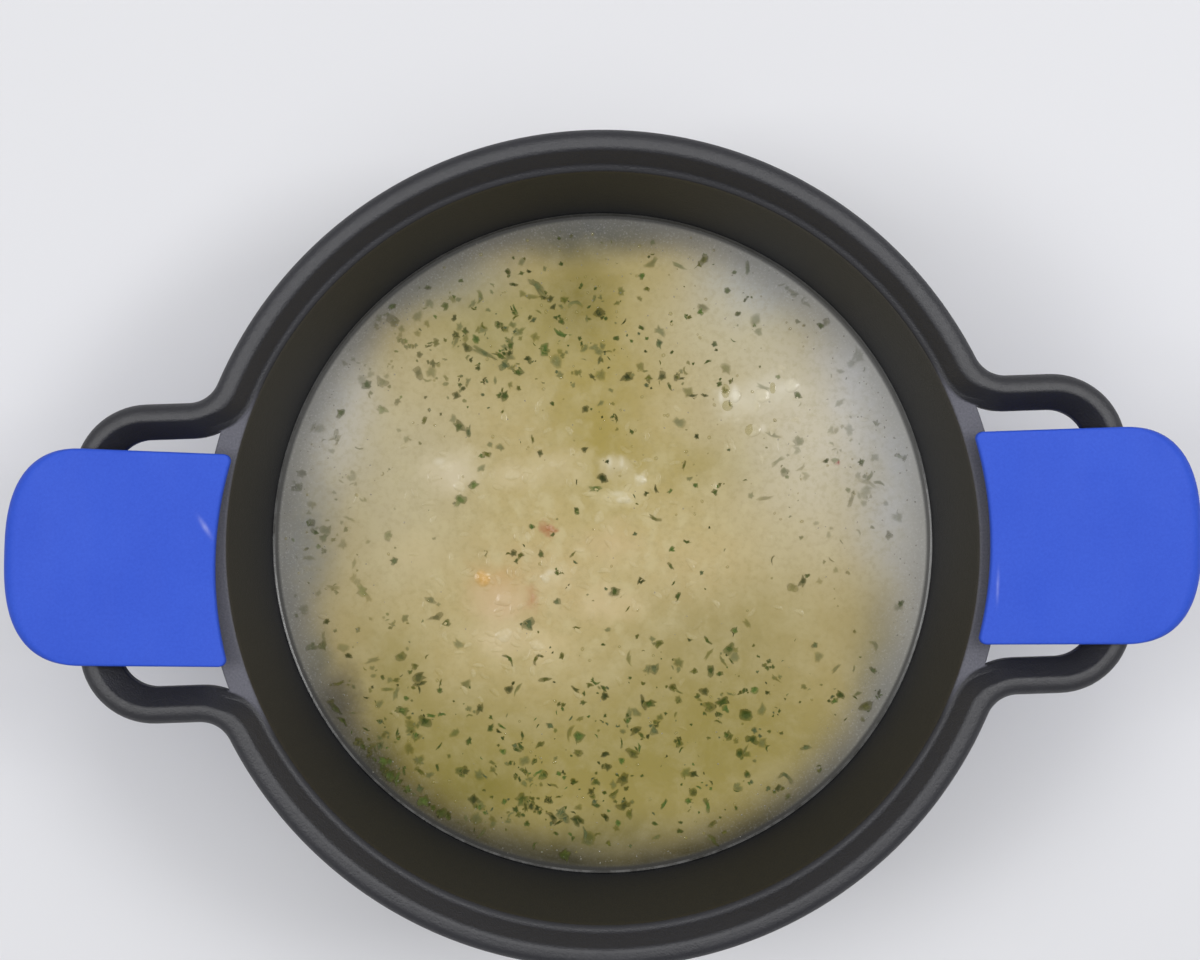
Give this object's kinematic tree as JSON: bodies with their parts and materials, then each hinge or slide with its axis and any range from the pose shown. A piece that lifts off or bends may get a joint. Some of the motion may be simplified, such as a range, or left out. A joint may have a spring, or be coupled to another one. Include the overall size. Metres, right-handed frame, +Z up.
{
  "type": "pot of rice with clams",
  "caption": "Wide cast pot with loop handles in blue silicone grips, part filled with a cloudy rice and clam broth under chopped herbs.",
  "frame": {"origin": "centre of the pot's flat base", "axes": "+Z up, +X along the line through both handles, towards the right-hand one"},
  "size_m": [0.4392, 0.309, 0.1285],
  "materials": {
    "coating": "fine-grained dark satin non-stick coating on cast aluminium",
    "silicone": "matte royal-blue silicone",
    "broth": "cloudy beige broth with a wet gloss",
    "grain": "soft cooked rice and clam meat, wet",
    "herb": "chopped dried parsley, wet",
    "oil": "thin droplets of oil and small bubbles"
  },
  "bodies": {
    "root": {"pot": "coating", "grip_left": "silicone", "grip_right": "silicone", "broth": "broth"}
  },
  "joints": []
}
